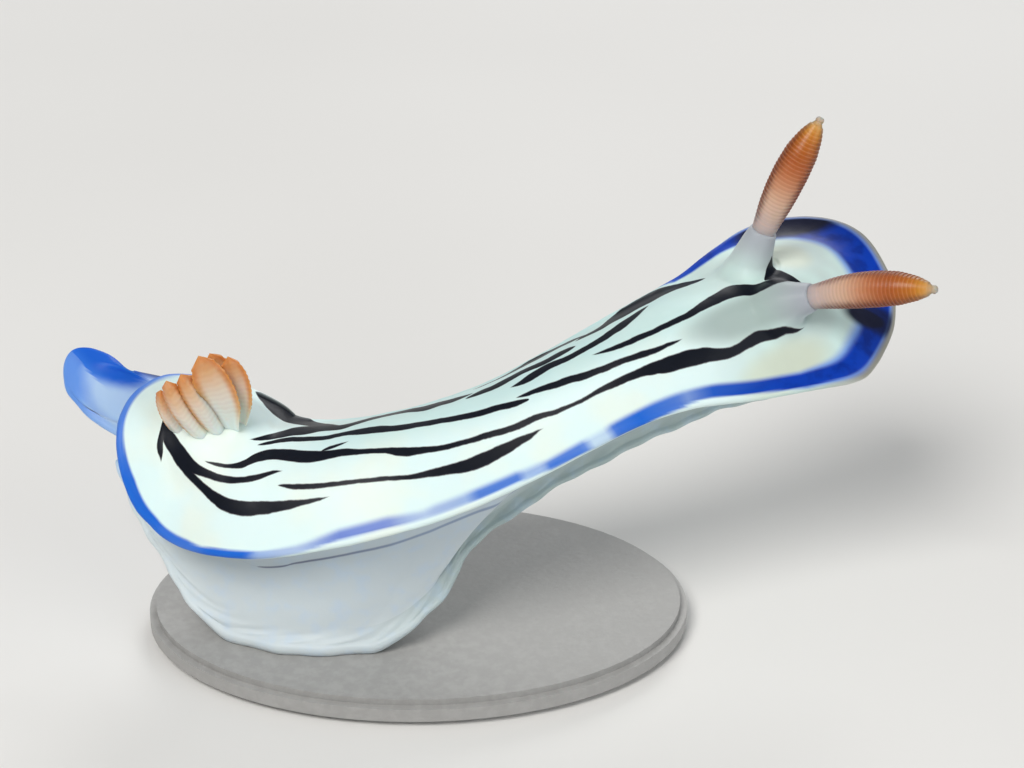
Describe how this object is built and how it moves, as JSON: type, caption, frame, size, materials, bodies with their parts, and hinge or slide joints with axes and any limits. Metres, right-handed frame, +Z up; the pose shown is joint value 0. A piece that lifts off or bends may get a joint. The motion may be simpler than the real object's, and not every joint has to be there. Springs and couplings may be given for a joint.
{
  "type": "nudibranch model",
  "caption": "Still, life-size model of a striped chromodorid nudibranch: foot, trunk, tail, mantle, ringed rhinophores, oral tentacles and gill crown, on a flat oval base.",
  "frame": {"origin": "middle of the whole model's box in X and Y, underside of the base at Z = 0", "axes": "+X the way the head points, and the longest extent; +Y away from the viewer of the picture; +Z up"},
  "size_m": [0.036, 0.0166, 0.0212],
  "materials": {
    "mantle": "moist white skin with thin black lines and a broken blue margin",
    "flesh": "translucent bluish white, moist",
    "rhinophore": "orange rings over a pale stem, grey knob",
    "gill": "pale, edged with orange brown",
    "stand": "plain dark matte display base"
  },
  "bodies": {
    "root": {"mantle_rear": "mantle", "mantle_middle": "mantle", "mantle_neck": "mantle", "mantle_front": "mantle", "body_middle": "flesh", "body_neck": "flesh", "head": "flesh", "oral_tentacle_left": "flesh", "oral_tentacle_right": "flesh", "tail": "flesh", "foot_middle": "flesh", "foot_front": "flesh", "rhinophore_left": "rhinophore", "rhinophore_right": "rhinophore", "gills": "gill", "stand_base": "stand"}
  },
  "joints": []
}
